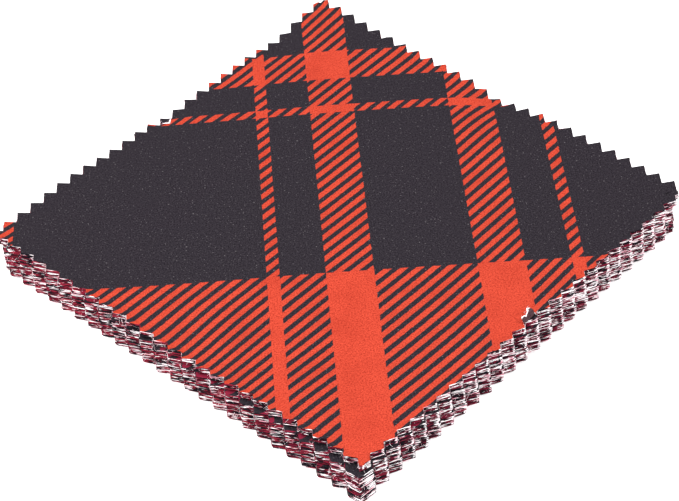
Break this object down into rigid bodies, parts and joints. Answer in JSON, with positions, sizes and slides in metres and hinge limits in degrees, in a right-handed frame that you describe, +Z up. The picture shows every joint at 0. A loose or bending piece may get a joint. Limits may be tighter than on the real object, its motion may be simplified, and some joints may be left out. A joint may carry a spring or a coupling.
{
  "type": "stack of fabric squares",
  "caption": "Low stack of pinked-edge printed cotton squares, piled face up a little unevenly, with curled corners and a red and charcoal tartan print laid on the bias.",
  "frame": {"origin": "on the surface that the stack rests on, under the middle of the stack's bounding box", "axes": "+Z up through the stack, +X and +Y along the squares' cut edges; the near corner of the picture is at -X -Y and the raised far corner at +X +Y"},
  "size_m": [0.1292, 0.128, 0.0127],
  "materials": {
    "printed_cotton": "matt printed plain-weave cotton with paler backs and pinked cut edges"
  },
  "bodies": {
    "root": {"squares_01_to_06": "printed_cotton", "squares_07_to_12": "printed_cotton", "squares_13_to_18": "printed_cotton", "squares_19_to_24": "printed_cotton", "squares_25_to_30": "printed_cotton", "squares_31_to_36": "printed_cotton", "squares_37_to_42": "printed_cotton"}
  },
  "joints": []
}
